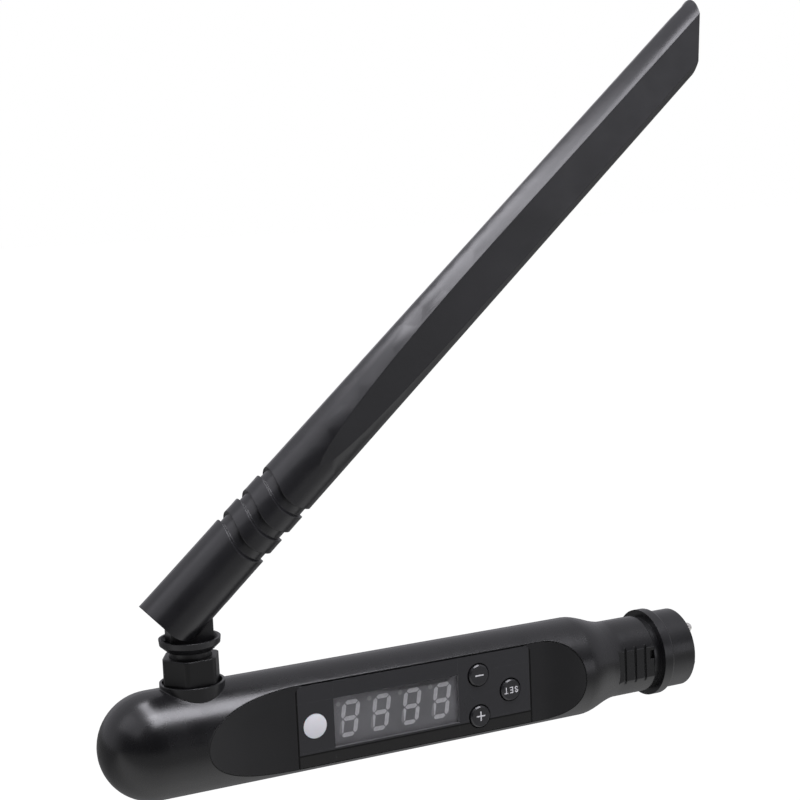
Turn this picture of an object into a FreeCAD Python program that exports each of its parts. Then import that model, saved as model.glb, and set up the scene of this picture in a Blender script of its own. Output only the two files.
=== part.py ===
"""Wireless lighting-control stick: plug-on transmitter with a tilting antenna.

Frame, millimetres: the origin is the centre of the plug rim, +X is the way
the plug points, +Z is the antenna side and -Y is the side with the display.
Every piece is written as its own STEP file in the parts folder.
"""
import FreeCAD, Part
import math
import os
from FreeCAD import Vector

os.makedirs("parts", exist_ok=True)

# Stick body, measured from the plug rim towards the domed tail.
BODY_R = 11.75
WALL = 2.0
BODY_LEN = 147.0

# Sizes along the stick follow its length and sizes across it its radius.
LONG = BODY_LEN / 147.0
WIDE = BODY_R / 11.75

SHOULDER_START = 30.5 * LONG
NECK_START = 19.8 * LONG
NECK_END = 11.4
NECK_R = 9.2
NECK_BORE_R = 7.4
PART_GAP = 0.1
BODY_GAP = 0.3
RUN_FIT = 0.07

# Flat front with its two ends running out to the round body.
FACE_D = 7.07 * WIDE
FACE_TAIL = 126.6 * LONG
FACE_PLUG = 32.85 * LONG
RUNOUT_TAIL_R = 61.0
RUNOUT_PLUG_R = 12.5
COVER_T = 1.6
FACE_HALF = math.sqrt(BODY_R ** 2 - FACE_D ** 2)

# Gloss panel, display and lamp on the flat front.
PANEL_TAIL = 104.55 * LONG
PANEL_PLUG = 45.4 * LONG
PANEL_TOP_EDGE = 0.335
PANEL_LOW_EDGE = 0.185
PANEL_TOP = FACE_HALF - PANEL_TOP_EDGE
PANEL_LOW = PANEL_LOW_EDGE - FACE_HALF
PANEL_T = 0.8
PANEL_CORNER = 1.5
SCREEN_C = 80.1 * LONG
SCREEN_Z = -0.42
SCREEN_L = 31.2 * LONG
SCREEN_H = 11.2 * WIDE
MODULE_RIM = 0.8
DIGIT_PITCH = 7.66 * LONG
DIGIT_Z = -0.25
DIGIT_H = 7.25 * WIDE
DIGIT_W = 3.4
DIGIT_SLANT = 9.5
SEGMENT_W = 1.0
SEGMENT_T = 0.4
SEGMENT_GAP = 0.15
DOT_R = 0.55
DOT_OFFSET = 1.55
LAMP_C = 100.3 * LONG
LAMP_Z = -0.3
LAMP_R = 2.75
LAMP_DOME = 0.4
LAMP_COLLAR = 0.4
LAMP_COLLAR_T = 0.8
LED_L = 3.0
LED_H = 2.4
LED_T = 1.1

# Keys: distance from the plug rim and height.
KEY_HOLE_R = 2.8
KEY_PROUD = 0.6
KEY_EDGE = 0.3
KEY_FLANGE_R = 3.2
KEY_FLANGE_T = 0.7
MINUS_C = 59.25 * LONG
MINUS_Z = 4.3 * WIDE
PLUS_C = 59.25 * LONG
PLUS_Z = -5.45 * WIDE
SET_C = 51.0 * LONG
SET_Z = -0.54 * WIDE

# Circuit board and what sits on it.
BOARD_Y = 1.2 * WIDE
BOARD_T = 1.6
BOARD_TAIL = 113.0 * LONG
BOARD_PLUG = 37.5 * LONG
BOARD_CLEAR = 0.32
BOARD_HALF_H = math.sqrt((BODY_R - WALL - BOARD_CLEAR) ** 2 - (BOARD_Y + BOARD_T) ** 2)
POST_R = 1.9
POST_Z = 5.2 * WIDE
POST_TAIL = 108.5 * LONG
POST_PLUG = 44.5 * LONG
SCREW_R = 1.0
SCREW_HEAD_R = 1.8
SCREW_HEAD_T = 1.2
SCREW_LEN = 5.0
SCREW_SLOT = 0.5
SWITCH_SIDE = 6.0
SWITCH_H = 3.5
SWITCH_BUTTON_R = 1.7
SWITCH_BUTTON_H = 0.7
CELL_LEN = 34.0 * LONG
CELL_W = 10.8 * WIDE
CELL_T = 4.8 * WIDE
CELL_C = 65.0 * LONG
CELL_ROUND = 1.2
RADIO_LEN = 14.0 * LONG
RADIO_W = 10.0 * WIDE
RADIO_T = 2.2
RADIO_C = 99.4 * LONG
CHIP_SIDE = 7.0 * WIDE
CHIP_T = 1.1
CHIP_C = 88.0 * LONG
CHIP_Z = 3.6 * WIDE
CHARGE_C = 88.0 * LONG
CHARGE_W = 7.8
CHARGE_T = 2.8
CHARGE_LEN = 5.0
CHARGE_SHELL = 0.4
CHARGE_SINK = 0.4
WIRE_BLOCK_L = 3.3
WIRE_BLOCK_H = 10.4 * WIDE
WIRE_BLOCK_T = 4.4

# Plug end.
FLANGE_R = 10.45
FLANGE_TAIL = 9.6
FLANGE_PLUG = 6.8
FLANGE_FILLET = 0.6
SLEEVE_R = 9.43
SLEEVE_LIP = 0.3
SLEEVE_BORE_R = 8.1
SPIGOT_WALL = 1.2
GROOVE_R = 8.6
SPIGOT_LEN = 8.0
INSERT_FRONT = 9.0
INSERT_DISC_T = 1.5
PIN_R = 1.2
PIN_CIRCLE_R = 4.6
PIN_TIP = 4.6
PIN_TAIL = 2.0
PIN_ANGLES = (75.0, 165.0, 300.0)
KEYWAY_W = 3.0
KEYWAY_DEPTH = 1.5
WIRE_R = 0.6
WIRE_Y = -0.9
WIRE_PITCH = 3.5

# Grip on the neck.
GRIP_D = 8.45
GRIP_START = 21.9 * LONG
GRIP_GROOVES = (19.8 * LONG, 16.9 * LONG, 14.1 * LONG)
GRIP_GROOVE_W = 0.6
GRIP_GROOVE_DEPTH = 0.4

# Antenna socket on top of the stick.
SOCKET_C = 125.48 * LONG
SOCKET_R = 7.07
SOCKET_TOP_RISE = 0.85
SOCKET_TOP = BODY_R + SOCKET_TOP_RISE
SOCKET_FLOOR_DROP = 0.55
SOCKET_FLOOR = BODY_R - SOCKET_FLOOR_DROP
SOCKET_BORE_R = 6.5
SOCKET_PAD_DROP = 3.35
SOCKET_PAD = BODY_R - SOCKET_PAD_DROP
JACK_R = 3.175
JACK_FLANGE_R = 4.6 * WIDE
JACK_FLANGE_T = 1.5
JACK_TOP_RISE = 3.75
JACK_TOP = BODY_R + JACK_TOP_RISE
JACK_BOTTOM_DROP = 7.55
JACK_BOTTOM = BODY_R - JACK_BOTTOM_DROP
JACK_BORE_R = 2.3
CONTACT_R = 0.65
CONTACT_PIN_R = 0.4
LEAD_R = 0.7
LEAD_BEND = 3.0
LEAD_DROP = 4.4
LEAD_PLUG_L = 2.8

# Collar nut and swivel foot.
NUT_TOP_RISE = 6.45
NUT_TOP = BODY_R + NUT_TOP_RISE
NUT_TOP_R = 6.3
NUT_FOOT_R = 6.4
NUT_FLAT = 5.7
NUT_TURN = 3.0
NUT_ROUND = 1.0
FOOT_NECK_R = 4.5
FOOT_FLANGE_R = 4.93
FOOT_FLANGE_BASE_RISE = 4.2
FOOT_FLANGE_BASE = BODY_R + FOOT_FLANGE_BASE_RISE
FOOT_FLANGE_TOP_RISE = 5.55
FOOT_FLANGE_TOP = BODY_R + FOOT_FLANGE_TOP_RISE
BOWL_BASE_RISE = 7.75
BOWL_BASE = BODY_R + BOWL_BASE_RISE
BOWL_BASE_R = 5.0
BOWL_WAIST_RISE = 9.15
BOWL_WAIST = BODY_R + BOWL_WAIST_RISE
BOWL_WAIST_R = 6.55
BOWL_R = 6.7
BOWL_TOP_RISE = 10.45
BOWL_TOP = BODY_R + BOWL_TOP_RISE
BOWL_FLOOR_RISE = 8.95
BOWL_FLOOR = BODY_R + BOWL_FLOOR_RISE
BOWL_RIM = 0.6
TONGUE_HALF_W = 4.7
TONGUE_HALF_T = 2.7
PIVOT_Z_RISE = 18.56
PIVOT_Z = BODY_R + PIVOT_Z_RISE
HINGE_PIN_R = 1.3
HINGE_PIN_HALF = 4.9
FEED_BORE_R = 1.9

# Antenna, measured from the hinge pin along the antenna.
TILT = 42.6
SWIVEL = -4.5
ANT_R = 6.74
ANT_TAPER = 0.00255
ANT_BACK = 7.8
ANT_LEN = 184.0
TIP_BACK = 11.2
TIP_SLANT = 46.0
FLAT_D = 5.05
FLAT_START = 40.0
FLAT_FULL = 104.0
RING_STARTS = (17.1, 23.2, 29.9)
RING_W = 2.5
RING_DEPTH = 0.8
RING_DIP = 4.0
ANT_BORE_R = 3.9
ANT_BORE_START = 9.0
ANT_BORE_SHORT = 20.0
FEED_R = 0.95
FEED_END = 70.0
DIPOLE_R = 2.4
DIPOLE_T = 0.4
DIPOLE_START = 42.0
WHIP_R = 0.6
WHIP_SHORT = 6.0
COIL_START = 38.0
COIL_L = 6.0
COIL_R = 1.8
SPACER_T = 3.0
SPACER_STEP = 14.0
SPACER_SLEEVE_STEP = 10.0

X_AXIS = Vector(1, 0, 0)
Y_AXIS = Vector(0, 1, 0)
Z_AXIS = Vector(0, 0, 1)
ORIGIN = Vector(0, 0, 0)
FAR = 40.0


def rod_x(x0, x1, r, y=0.0, z=0.0):
    return Part.makeCylinder(r, x1 - x0, Vector(x0, y, z), X_AXIS)


def rod_y(y0, y1, r, x, z):
    return Part.makeCylinder(r, y1 - y0, Vector(x, y0, z), Y_AXIS)


def rod_z(z0, z1, r, x):
    return Part.makeCylinder(r, z1 - z0, Vector(x, 0, z0), Z_AXIS)


def block(x0, x1, y0, y1, z0, z1):
    return Part.makeBox(x1 - x0, y1 - y0, z1 - z0, Vector(x0, y0, z0))


def line(a, b):
    return Part.LineSegment(a, b).toShape()


def arc(a, b, c):
    return Part.Arc(a, b, c).toShape()


def curve(points, start, end):
    spline = Part.BSplineCurve()
    spline.interpolate(points, InitialTangent=start, FinalTangent=end)
    return spline.toShape()


def spin(edges, base, axis):
    return Part.Face(Part.Wire(edges)).revolve(base, axis, 360)


def write(node, shape):
    shape = shape.removeSplitter()
    solids = shape.Solids
    if not solids or not shape.isValid():
        raise ValueError(node + " is not a valid solid")
    out = solids[0] if len(solids) == 1 else Part.makeCompound(solids)
    out.exportStep("parts/" + node + ".step")


# Stick body

def body_outline(r, dome_r, shoulder, end_x, neck_r):
    """Turned shape of the stick: domed tail, tube, soft shoulder and neck."""
    dome_c = -(BODY_LEN - BODY_R)
    tip = Vector(dome_c - dome_r, 0, 0)
    mid = Vector(dome_c - dome_r * math.sqrt(0.5), 0, dome_r * math.sqrt(0.5))
    top = Vector(dome_c, 0, dome_r)
    tube_end = Vector(-SHOULDER_START, 0, r)
    edges = [arc(tip, mid, top), line(top, tube_end)]
    if shoulder:
        run = SHOULDER_START - NECK_START
        drop = r - neck_r
        marks = ((0.2, 0.13), (0.42, 0.43), (0.63, 0.75), (0.82, 0.94))
        points = [tube_end]
        for along, down in marks:
            points.append(Vector(-SHOULDER_START + run * along, 0, r - drop * down))
        points.append(Vector(-NECK_START, 0, neck_r))
        edges.append(curve(points, X_AXIS, X_AXIS))
        last = points[-1]
    else:
        last = Vector(-SHOULDER_START, 0, neck_r)
        edges.append(line(tube_end, last))
    end = Vector(end_x, 0, neck_r)
    foot = Vector(end_x, 0, 0)
    edges += [line(last, end), line(end, foot), line(foot, tip)]
    return spin(edges, ORIGIN, X_AXIS)


def runout(radius, depth):
    """Length of a run-out arc that rises by the given depth."""
    return math.sqrt(radius ** 2 - (radius - depth) ** 2)


def face_profile(inset):
    """Front surface seen from above, set inwards by the given amount."""
    rise = BODY_R - FACE_D
    tail_len = runout(RUNOUT_TAIL_R, rise)
    plug_len = runout(RUNOUT_PLUG_R, rise)
    tail_c = Vector(-FACE_TAIL + tail_len, -FACE_D - RUNOUT_TAIL_R, 0)
    plug_c = Vector(-FACE_PLUG - plug_len, -FACE_D - RUNOUT_PLUG_R, 0)

    def on_arc(centre, radius, angle, side):
        r = radius + inset
        dx = side * r * math.sin(angle)
        return Vector(centre.x + dx, centre.y + r * math.cos(angle), 0)

    reach = 1.5
    tail_a = math.asin(min(0.99, (tail_len + reach) / RUNOUT_TAIL_R))
    plug_a = math.asin(min(0.99, (plug_len + reach) / RUNOUT_PLUG_R))
    a0 = on_arc(tail_c, RUNOUT_TAIL_R, tail_a, -1)
    a1 = on_arc(tail_c, RUNOUT_TAIL_R, tail_a / 2, -1)
    a2 = Vector(tail_c.x, -FACE_D + inset, 0)
    b2 = Vector(plug_c.x, -FACE_D + inset, 0)
    b1 = on_arc(plug_c, RUNOUT_PLUG_R, plug_a / 2, 1)
    b0 = on_arc(plug_c, RUNOUT_PLUG_R, plug_a, 1)
    return a0, a1, a2, b2, b1, b0


def front_cut(inset):
    """Everything in front of the front surface."""
    a0, a1, a2, b2, b1, b0 = face_profile(inset)
    far_a = Vector(a0.x, -FAR, 0)
    far_b = Vector(b0.x, -FAR, 0)
    edges = [arc(a0, a1, a2), line(a2, b2), arc(b2, b1, b0)]
    edges += [line(b0, far_b), line(far_b, far_a), line(far_a, a0)]
    face = Part.Face(Part.Wire(edges))
    face.translate(Vector(0, 0, -FAR))
    return face.extrude(Vector(0, 0, 2 * FAR))


def outline_end(tip_x, radius, inward, gap):
    """Points along one rounded end of the outline, from low to high."""
    reach = runout(radius, BODY_R - FACE_D)
    shrink = 1 - gap / math.sqrt(BODY_R ** 2 - FACE_D ** 2)
    steps = 7
    points = []
    for k in range(-steps, steps + 1):
        along = reach * math.sin(math.pi / 2 * (1 - abs(k) / steps))
        depth = radius - math.sqrt(radius ** 2 - along ** 2)
        z = math.sqrt(max(BODY_R ** 2 - (FACE_D + depth) ** 2, 0))
        x = tip_x + inward * (reach - along + gap)
        points.append(Vector(x, 0, math.copysign(z, k) * shrink))
    return points


def cover_outline(gap):
    """Prism through the outline that the front surface cuts in the body."""
    tail_pts = outline_end(-FACE_TAIL, RUNOUT_TAIL_R, 1, gap)
    plug_pts = outline_end(-FACE_PLUG, RUNOUT_PLUG_R, -1, gap)
    edges = [curve(tail_pts, Vector(-1, 0, 0), X_AXIS)]
    edges.append(line(tail_pts[-1], plug_pts[-1]))
    plug_pts.reverse()
    edges.append(curve(plug_pts, X_AXIS, Vector(-1, 0, 0)))
    edges.append(line(plug_pts[-1], tail_pts[0]))
    face = Part.Face(Part.Wire(edges))
    face.translate(Vector(0, -FAR, 0))
    return face.extrude(Vector(0, FAR - 0.5, 0))


def grip_cut():
    """Flat with three thumb grooves and one small notch on the neck."""
    half = math.sqrt(max(NECK_R ** 2 - GRIP_D ** 2, 0.1)) + 1.5
    cut = block(-GRIP_START, -NECK_END + 1, -FAR, -GRIP_D, -half, half)
    for start in GRIP_GROOVES:
        x0 = -start - GRIP_GROOVE_W / 2
        floor = -GRIP_D + GRIP_GROOVE_DEPTH
        cut = cut.fuse(block(x0, x0 + GRIP_GROOVE_W, -FAR, floor, -half, half))
    notch_floor = -GRIP_D + 2 * GRIP_GROOVE_DEPTH
    notch = block(-NECK_END - 1.2, -NECK_END + 1, -FAR, notch_floor, 0.7, 2.8)
    return cut.fuse(notch)


def charge_slot(margin):
    """Room for the charging socket in the underside."""
    y0 = BOARD_Y + BOARD_T - margin
    x0 = -CHARGE_C - CHARGE_W / 2 - margin
    return block(x0, x0 + CHARGE_W + 2 * margin, y0, y0 + CHARGE_T + 2 * margin,
                 -FAR, -BOARD_HALF_H + 1.5)


def body_shell():
    outer = body_outline(BODY_R, BODY_R, True, -NECK_END, NECK_R)
    outer = outer.fuse(rod_z(SOCKET_PAD, SOCKET_TOP, SOCKET_R, -SOCKET_C))
    inner_r = BODY_R - WALL
    inner = body_outline(inner_r, inner_r, False, -NECK_END + 1, NECK_BORE_R)
    inner = inner.cut(rod_z(SOCKET_PAD, SOCKET_TOP, SOCKET_R, -SOCKET_C))
    shell = outer.cut(inner)
    shell = shell.cut(rod_z(SOCKET_FLOOR, SOCKET_TOP + 1, SOCKET_BORE_R, -SOCKET_C))
    shell = shell.cut(rod_z(0, SOCKET_TOP, JACK_R + PART_GAP / 2, -SOCKET_C))
    seat = front_cut(COVER_T).common(cover_outline(0.0))
    shell = shell.cut(seat)
    shell = shell.cut(grip_cut())
    return shell.cut(charge_slot(PART_GAP))


# Front cover and panel

def key_places():
    return ((MINUS_C, MINUS_Z), (PLUS_C, PLUS_Z), (SET_C, SET_Z))


def panel_prism(gap, depth):
    """Panel outline with rounded upper corners, from the front surface inwards."""
    x0 = -PANEL_TAIL + gap
    x1 = -PANEL_PLUG - gap
    low = PANEL_LOW
    top = PANEL_TOP
    r = PANEL_CORNER
    near = r * (1 - math.sqrt(0.5))
    edges = [line(Vector(x0, 0, low), Vector(x1, 0, low))]
    edges.append(line(Vector(x1, 0, low), Vector(x1, 0, top - r)))
    edges.append(arc(Vector(x1, 0, top - r), Vector(x1 - near, 0, top - near), Vector(x1 - r, 0, top)))
    edges.append(line(Vector(x1 - r, 0, top), Vector(x0 + r, 0, top)))
    edges.append(arc(Vector(x0 + r, 0, top), Vector(x0 + near, 0, top - near), Vector(x0, 0, top - r)))
    edges.append(line(Vector(x0, 0, top - r), Vector(x0, 0, low)))
    face = Part.Face(Part.Wire(edges))
    face.translate(Vector(0, -FACE_D, 0))
    return face.extrude(Vector(0, depth, 0))


def module_box(gap, y0, y1):
    half_l = SCREEN_L / 2 + MODULE_RIM + gap
    half_h = SCREEN_H / 2 + MODULE_RIM + gap
    return block(-SCREEN_C - half_l, -SCREEN_C + half_l, y0, y1,
                 SCREEN_Z - half_h, SCREEN_Z + half_h)


def front_cover():
    plate = cover_outline(PART_GAP).cut(front_cut(0.0))
    plate = plate.common(front_cut(COVER_T))
    recess = panel_prism(-PART_GAP, PANEL_T + COVER_T)
    recess.translate(Vector(0, -COVER_T, 0))
    plate = plate.cut(recess)
    edge = PANEL_CORNER
    for z0, z1, inset in ((-FAR, 0, -PART_GAP), (PANEL_TOP - PART_GAP, FAR, edge)):
        plate = plate.cut(block(-PANEL_TAIL + inset, -PANEL_PLUG - inset,
                                -FACE_D - COVER_T, -FACE_D + PANEL_T, z0, z1))
    plate = plate.cut(module_box(PART_GAP, -FAR, 0))
    for place, z in key_places():
        plate = plate.cut(rod_y(-FAR, 0, KEY_HOLE_R, -place, z))
    plate = plate.cut(rod_y(-FAR, 0, LAMP_R + PART_GAP, -LAMP_C, LAMP_Z))
    back = -FACE_D + COVER_T
    for place in (POST_TAIL, POST_PLUG):
        for z in (-POST_Z, POST_Z):
            post = rod_y(back - 0.5, BOARD_Y, POST_R, -place, z)
            plate = plate.fuse(post)
            hole_end = BOARD_Y - SCREW_LEN + BOARD_T - 0.3
            plate = plate.cut(rod_y(hole_end, BOARD_Y + 1, SCREW_R, -place, z))
    return plate


def gloss_panel():
    panel = panel_prism(0.0, PANEL_T)
    half_l = SCREEN_L / 2
    half_h = SCREEN_H / 2
    window = block(-SCREEN_C - half_l, -SCREEN_C + half_l, -FAR, 0,
                   SCREEN_Z - half_h, SCREEN_Z + half_h)
    panel = panel.cut(window)
    for place, z in key_places():
        panel = panel.cut(rod_y(-FAR, 0, KEY_HOLE_R, -place, z))
    return panel.cut(rod_y(-FAR, 0, LAMP_R + PART_GAP, -LAMP_C, LAMP_Z))


def display_lens():
    half_l = SCREEN_L / 2 - PART_GAP / 2
    half_h = SCREEN_H / 2 - PART_GAP / 2
    return block(-SCREEN_C - half_l, -SCREEN_C + half_l, -FACE_D,
                 -FACE_D + PANEL_T, SCREEN_Z - half_h, SCREEN_Z + half_h)


def digit_shapes(depth):
    """Seven bars and a dot for each of the four digits, read from the tail."""
    y0 = -FACE_D + PANEL_T
    shapes = []
    lean = math.tan(math.radians(DIGIT_SLANT))
    half_h = DIGIT_H / 2
    half_w = DIGIT_W / 2
    gap = SEGMENT_GAP
    for k in range(4):
        cx = -SCREEN_C + (k - 1.5) * DIGIT_PITCH
        bars = []
        for row in (-1, 0, 1):
            bars.append((-half_w, row * half_h, half_w, row * half_h))
        for side in (-1, 1):
            bars.append((side * half_w, -half_h, side * half_w, 0.0))
            bars.append((side * half_w, 0.0, side * half_w, half_h))
        for xa, za, xb, zb in bars:
            shapes.append(bar(cx, y0, (xa, za, xb, zb), lean, gap, depth))
        dot_z = half_h
        dot_x = cx - half_w - DOT_OFFSET + lean * dot_z
        shapes.append(rod_y(y0, y0 + depth, DOT_R, dot_x, DIGIT_Z + dot_z))
    return shapes


def bar(cx, y0, ends, lean, gap, depth):
    """One pointed display bar, leaning with the digit."""
    xa, za, xb, zb = ends
    half = SEGMENT_W / 2
    level = za == zb
    if level:
        xa, xb = xa + gap, xb - gap
        ring = [(xa, za), (xa + half, za + half), (xb - half, za + half),
                (xb, za), (xb - half, za - half), (xa + half, za - half)]
    else:
        za, zb = za + gap, zb - gap
        ring = [(xa, za), (xa - half, za + half), (xa - half, zb - half),
                (xa, zb), (xa + half, zb - half), (xa + half, za + half)]
    points = []
    for x, z in ring:
        points.append(Vector(cx + x + lean * z, y0, DIGIT_Z + z))
    edges = []
    for k, point in enumerate(points):
        edges.append(line(point, points[(k + 1) % len(points)]))
    return Part.Face(Part.Wire(edges)).extrude(Vector(0, depth, 0))


def display_module():
    body = module_box(0.0, -FACE_D + PANEL_T, BOARD_Y)
    for shape in digit_shapes(SEGMENT_T):
        body = body.cut(shape)
    return body


def indicator_lens():
    """Milky lamp with a shallow domed face, a rear collar and a light guide."""
    front = -FACE_D
    back = front + COVER_T
    dome = LAMP_DOME
    ball_r = (LAMP_R ** 2 + dome ** 2) / (2 * dome)
    lens = rod_y(front, back + 0.1, LAMP_R, -LAMP_C, LAMP_Z)
    ball = Part.makeSphere(ball_r, Vector(-LAMP_C, front - dome + ball_r, LAMP_Z))
    cap = ball.common(rod_y(front - dome, front, LAMP_R, -LAMP_C, LAMP_Z))
    collar = rod_y(back, back + LAMP_COLLAR_T, LAMP_R + LAMP_COLLAR, -LAMP_C, LAMP_Z)
    guide = rod_y(back, BOARD_Y - LED_T, LAMP_R * 0.6, -LAMP_C, LAMP_Z)
    return lens.fuse(cap).fuse(collar).fuse(guide)


def key_cap(place, z):
    """Round key with a bevelled edge, a rear collar and a stem to its switch."""
    front = -FACE_D - KEY_PROUD
    collar_y = -FACE_D + COVER_T + BODY_GAP
    head_r = KEY_HOLE_R - BODY_GAP
    head = rod_y(front, collar_y + 0.1, head_r, -place, z)
    rims = [e for e in head.Edges if abs(e.CenterOfMass.y - front) < 0.01
            and len(e.Vertexes) == 1]
    head = head.makeChamfer(KEY_EDGE, rims)
    collar = rod_y(collar_y, collar_y + KEY_FLANGE_T, KEY_FLANGE_R, -place, z)
    room = rod_x(-place - FAR, -place + FAR, BODY_R - WALL - BODY_GAP)
    collar = collar.common(room)
    stem_end = BOARD_Y - SWITCH_H - SWITCH_BUTTON_H - BODY_GAP - 0.05
    stem = rod_y(collar_y, stem_end, SWITCH_BUTTON_R, -place, z)
    return head.fuse(collar).fuse(stem)


# Circuit board

def main_board():
    board = block(-BOARD_TAIL, -BOARD_PLUG, BOARD_Y, BOARD_Y + BOARD_T,
                  -BOARD_HALF_H, BOARD_HALF_H)
    for place in (POST_TAIL, POST_PLUG):
        for z in (-POST_Z, POST_Z):
            board = board.cut(rod_y(0, FAR, SCREW_R + PART_GAP, -place, z))
    return board


def board_screws():
    """Four small screws, driven from behind into the cover posts."""
    back = BOARD_Y + BOARD_T
    screws = []
    for place in (POST_TAIL, POST_PLUG):
        for z in (-POST_Z, POST_Z):
            shank = rod_y(back - SCREW_LEN, back + 0.1, SCREW_R, -place, z)
            head = rod_y(back, back + SCREW_HEAD_T, SCREW_HEAD_R, -place, z)
            slot = block(-place - SCREW_SLOT / 2, -place + SCREW_SLOT / 2, back + SCREW_HEAD_T / 2,
                         FAR, z - FAR, z + FAR)
            screws.append(shank.fuse(head).cut(slot))
    return Part.makeCompound(screws)


def key_switches():
    half = SWITCH_SIDE / 2
    top = BOARD_Y - SWITCH_H
    switches = []
    for place, z in key_places():
        base = block(-place - half, -place + half, top, BOARD_Y, z - half + 0.6,
                     z + half - 0.6)
        button = rod_y(top - SWITCH_BUTTON_H, top + 0.1, SWITCH_BUTTON_R, -place, z)
        switches.append(base.fuse(button))
    return Part.makeCompound(switches)


def status_led():
    return block(-LAMP_C - LED_L / 2, -LAMP_C + LED_L / 2, BOARD_Y - LED_T, BOARD_Y,
                 LAMP_Z - LED_H / 2, LAMP_Z + LED_H / 2)


def radio_module():
    back = BOARD_Y + BOARD_T
    half_l = RADIO_LEN / 2
    half_w = RADIO_W / 2
    top = back + RADIO_T
    return block(-RADIO_C - half_l, -RADIO_C + half_l, back, top, -half_w, half_w)


def control_chip():
    back = BOARD_Y + BOARD_T
    half = CHIP_SIDE / 2
    return block(-CHIP_C - half, -CHIP_C + half, back, back + CHIP_T,
                 CHIP_Z - half, CHIP_Z + half)


def battery_cell():
    back = BOARD_Y + BOARD_T
    half = CELL_W / 2
    cell = block(-CELL_C - CELL_LEN / 2, -CELL_C + CELL_LEN / 2, back,
                 back + CELL_T, -half, half)
    long_edges = [e for e in cell.Edges if abs(e.Length - CELL_LEN) < 0.01
                  and e.CenterOfMass.y > back + 0.1]
    return cell.makeFillet(CELL_ROUND, long_edges)


def charge_socket():
    """Small charging socket facing the underside."""
    back = BOARD_Y + BOARD_T
    y_mid = back + CHARGE_T
    mouth = math.sqrt(BODY_R ** 2 - y_mid ** 2) - CHARGE_SINK
    half = CHARGE_W / 2
    shell = block(-CHARGE_C - half, -CHARGE_C + half, back, y_mid,
                  -mouth, -mouth + CHARGE_LEN)
    t = CHARGE_SHELL
    hollow = block(-CHARGE_C - half + t, -CHARGE_C + half - t, back + t, y_mid - t,
                   -mouth - 1, -mouth + CHARGE_LEN - 1)
    blade = block(-CHARGE_C - half * 0.6, -CHARGE_C + half * 0.6,
                  back + CHARGE_T * 0.4, back + CHARGE_T * 0.6,
                  -mouth + 0.8, -mouth + CHARGE_LEN - 0.5)
    return shell.cut(hollow).fuse(blade)


def wire_block():
    """Terminal block at the plug end of the board."""
    half = WIRE_BLOCK_H / 2
    return block(-BOARD_PLUG - WIRE_BLOCK_L, -BOARD_PLUG, BOARD_Y - WIRE_BLOCK_T, BOARD_Y,
                 -half, half)


# Plug end

def pin_places():
    spots = []
    for angle in PIN_ANGLES:
        a = math.radians(angle)
        spots.append((-PIN_CIRCLE_R * math.cos(a), PIN_CIRCLE_R * math.sin(a)))
    return spots


def plug_shell():
    """Sleeve, flange and the spigot that goes into the neck."""
    spigot_end = -NECK_END - SPIGOT_LEN
    shell = rod_x(spigot_end, -FLANGE_PLUG, NECK_BORE_R)
    shell = shell.fuse(rod_x(-NECK_END, -FLANGE_TAIL, GROOVE_R))
    shell = shell.fuse(rod_x(-FLANGE_TAIL, -FLANGE_PLUG, FLANGE_R))
    shell = shell.fuse(rod_x(-FLANGE_PLUG - 0.5, 0, SLEEVE_R))
    shell = shell.cut(rod_x(-INSERT_FRONT, 1, SLEEVE_BORE_R))
    shell = shell.cut(rod_x(spigot_end - 1, 0, NECK_BORE_R - SPIGOT_WALL))
    rims = [e for e in shell.Edges if len(e.Vertexes) == 1
            and abs(e.CenterOfMass.x + FLANGE_PLUG) < 0.01
            and abs(e.Length - 2 * math.pi * FLANGE_R) < 0.1]
    shell = shell.makeFillet(FLANGE_FILLET, rims)
    lips = [e for e in shell.Edges if len(e.Vertexes) == 1
            and abs(e.CenterOfMass.x) < 0.01
            and abs(e.Length - 2 * math.pi * SLEEVE_R) < 0.1]
    return shell.makeChamfer(SLEEVE_LIP, lips)


def plug_insert():
    """Moulded disc that carries the pins, with its keyway rib."""
    back = -NECK_END - SPIGOT_LEN + 1
    disc = rod_x(back, -INSERT_FRONT + INSERT_DISC_T, NECK_BORE_R - SPIGOT_WALL)
    disc = disc.fuse(rod_x(-INSERT_FRONT, -INSERT_FRONT + INSERT_DISC_T, SLEEVE_BORE_R))
    rib_top = KEYWAY_DEPTH - SLEEVE_BORE_R
    rib = block(-INSERT_FRONT, -KEYWAY_DEPTH, -KEYWAY_W / 2, KEYWAY_W / 2, -SLEEVE_BORE_R, rib_top)
    rib = rib.common(rod_x(-INSERT_FRONT, 0, SLEEVE_BORE_R))
    disc = disc.fuse(rib)
    for y, z in pin_places():
        disc = disc.cut(rod_x(-FAR, FAR, PIN_R, y, z))
    return disc


def plug_pins():
    """Three round-nosed pins with a solder tail behind the insert."""
    pins = []
    back = -NECK_END - SPIGOT_LEN - PIN_TAIL
    for y, z in pin_places():
        pin = rod_x(back, PIN_TIP - PIN_R, PIN_R, y, z)
        nose = Part.makeSphere(PIN_R, Vector(PIN_TIP - PIN_R, y, z))
        pins.append(pin.fuse(nose))
    return Part.makeCompound(pins)


def plug_wires():
    """Three wires from the pins to the terminal block on the board."""
    start = -NECK_END - SPIGOT_LEN - PIN_TAIL
    wires = []
    for k, (y, z) in enumerate(pin_places()):
        a = Vector(start, y, z)
        b = Vector(-BOARD_PLUG, WIRE_Y, (1 - k) * WIRE_PITCH)
        ring = Part.Wire([Part.makeCircle(WIRE_R, a, X_AXIS)])
        wires.append(Part.Face(ring).extrude(b - a))
    return Part.makeCompound(wires)


# Antenna socket

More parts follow.
